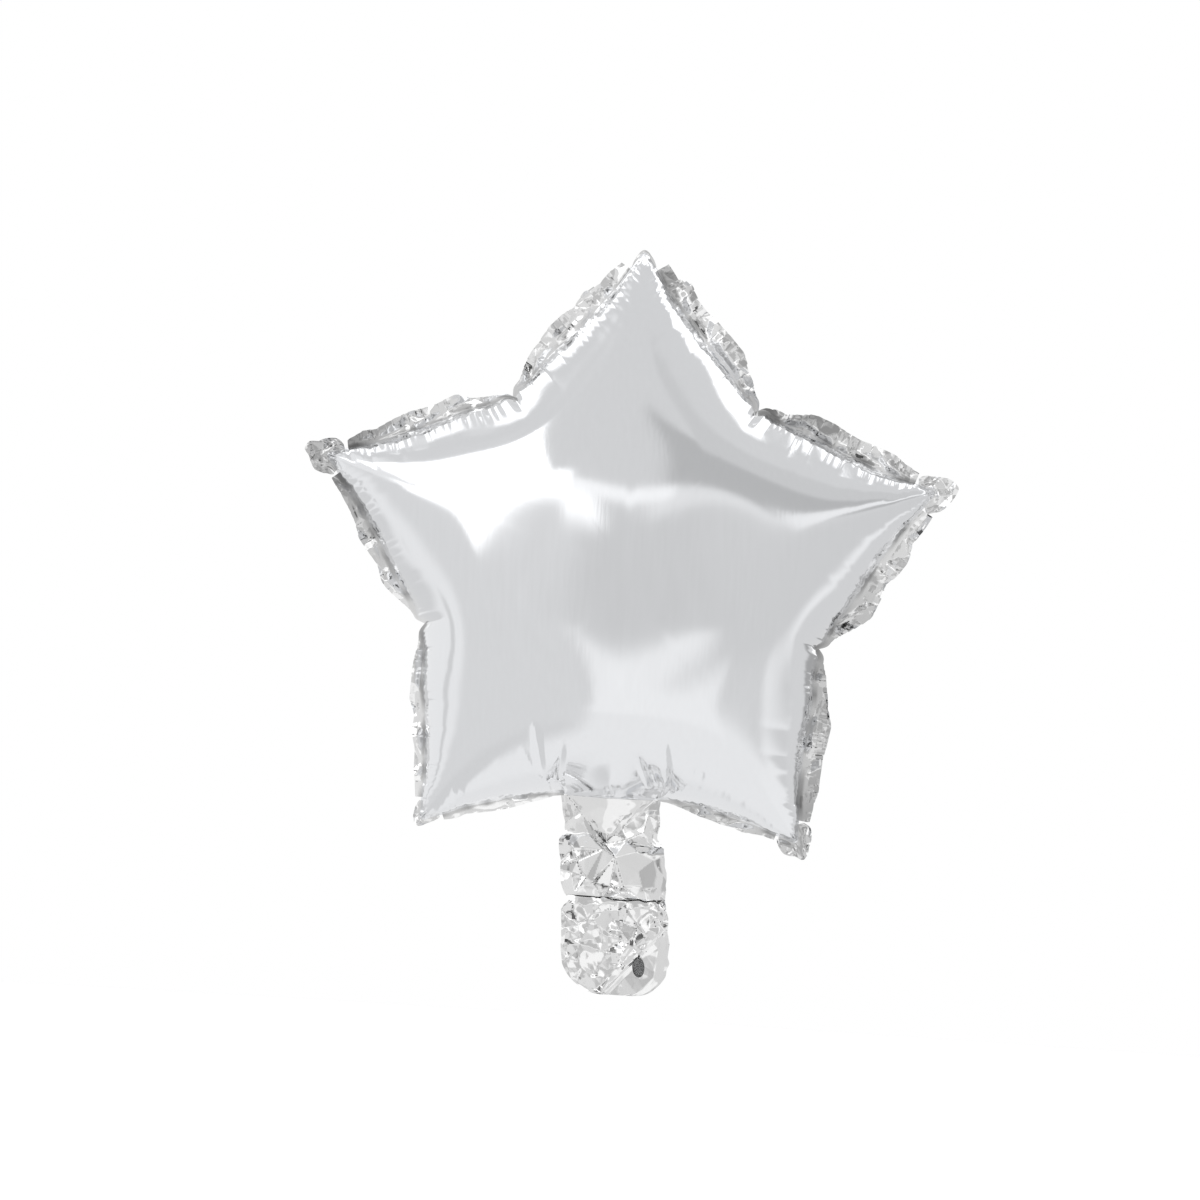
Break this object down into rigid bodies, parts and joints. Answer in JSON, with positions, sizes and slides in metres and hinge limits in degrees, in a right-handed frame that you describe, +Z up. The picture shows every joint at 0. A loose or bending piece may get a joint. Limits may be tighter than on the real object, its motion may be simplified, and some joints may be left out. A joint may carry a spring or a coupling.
{
  "type": "star foil balloon",
  "caption": "Inflated star-shaped foil balloon with two domed panels, a crumpled welded margin and a self-sealing inflation tail.",
  "frame": {"origin": "middle of the neck, on the crease where the tail leaves the star and a ribbon is tied", "axes": "+Z up through the top arm, -Y the front face, +X to the right seen from the front"},
  "size_m": [0.2262, 0.0922, 0.2623],
  "materials": {
    "star_foil": "smooth metallised film, mirror-like",
    "crumpled_foil": "creased metallised film",
    "valve_film": "clear thin polyethylene"
  },
  "bodies": {
    "star": {"front_panel": "star_foil", "rear_panel": "star_foil", "tip_tab_top": "crumpled_foil", "tip_tab_upper_left": "crumpled_foil", "tip_tab_lower_left": "crumpled_foil", "tip_tab_lower_right": "crumpled_foil", "tip_tab_upper_right": "crumpled_foil", "margin_top_right": "crumpled_foil", "margin_top_left": "crumpled_foil", "margin_upper_left_above": "crumpled_foil", "margin_upper_left_below": "crumpled_foil", "margin_lower_left_outer": "crumpled_foil", "margin_lower_left_inner": "crumpled_foil", "margin_lower_right_inner": "crumpled_foil", "margin_lower_right_outer": "crumpled_foil", "margin_upper_right_below": "crumpled_foil", "margin_upper_right_above": "crumpled_foil"},
    "neck": {"neck_front_sheet": "crumpled_foil", "neck_rear_sheet": "crumpled_foil", "neck_edge_welds": "crumpled_foil", "valve_film_front_neck": "valve_film", "valve_film_rear_neck": "valve_film"},
    "leaf": {"leaf_front_sheet": "crumpled_foil", "leaf_rear_sheet": "crumpled_foil", "leaf_edge_weld": "crumpled_foil", "valve_film_front_leaf": "valve_film", "valve_film_rear_leaf": "valve_film"},
    "valve_front": {"valve_film_front": "valve_film"},
    "valve_rear": {"valve_film_rear": "valve_film"}
  },
  "joints": [
    {"name": "neck_fold", "type": "hinge", "parent": "star", "child": "neck", "pos_m": [0, 0, 0], "axis": [1, 0, 0], "range_deg": [-80, 80]},
    {"name": "pleat_fold", "type": "hinge", "parent": "neck", "child": "leaf", "pos_m": [0, 0, -0.033], "axis": [1, 0, 0], "range_deg": [-85, 85]},
    {"name": "valve_front_open", "type": "hinge", "parent": "star", "child": "valve_front", "pos_m": [0, -0.00015, 0.00075], "axis": [1, 0, 0], "range_deg": [0, 8], "stiffness_Nm_per_rad": 0.0003},
    {"name": "valve_rear_open", "type": "hinge", "parent": "star", "child": "valve_rear", "pos_m": [0, 0.00015, 0.00075], "axis": [1, 0, 0], "range_deg": [-8, 0], "stiffness_Nm_per_rad": 0.0003}
  ],
  "couplings": [
    {"joint": "valve_rear_open", "follows": "valve_front_open", "ratio": -1}
  ]
}
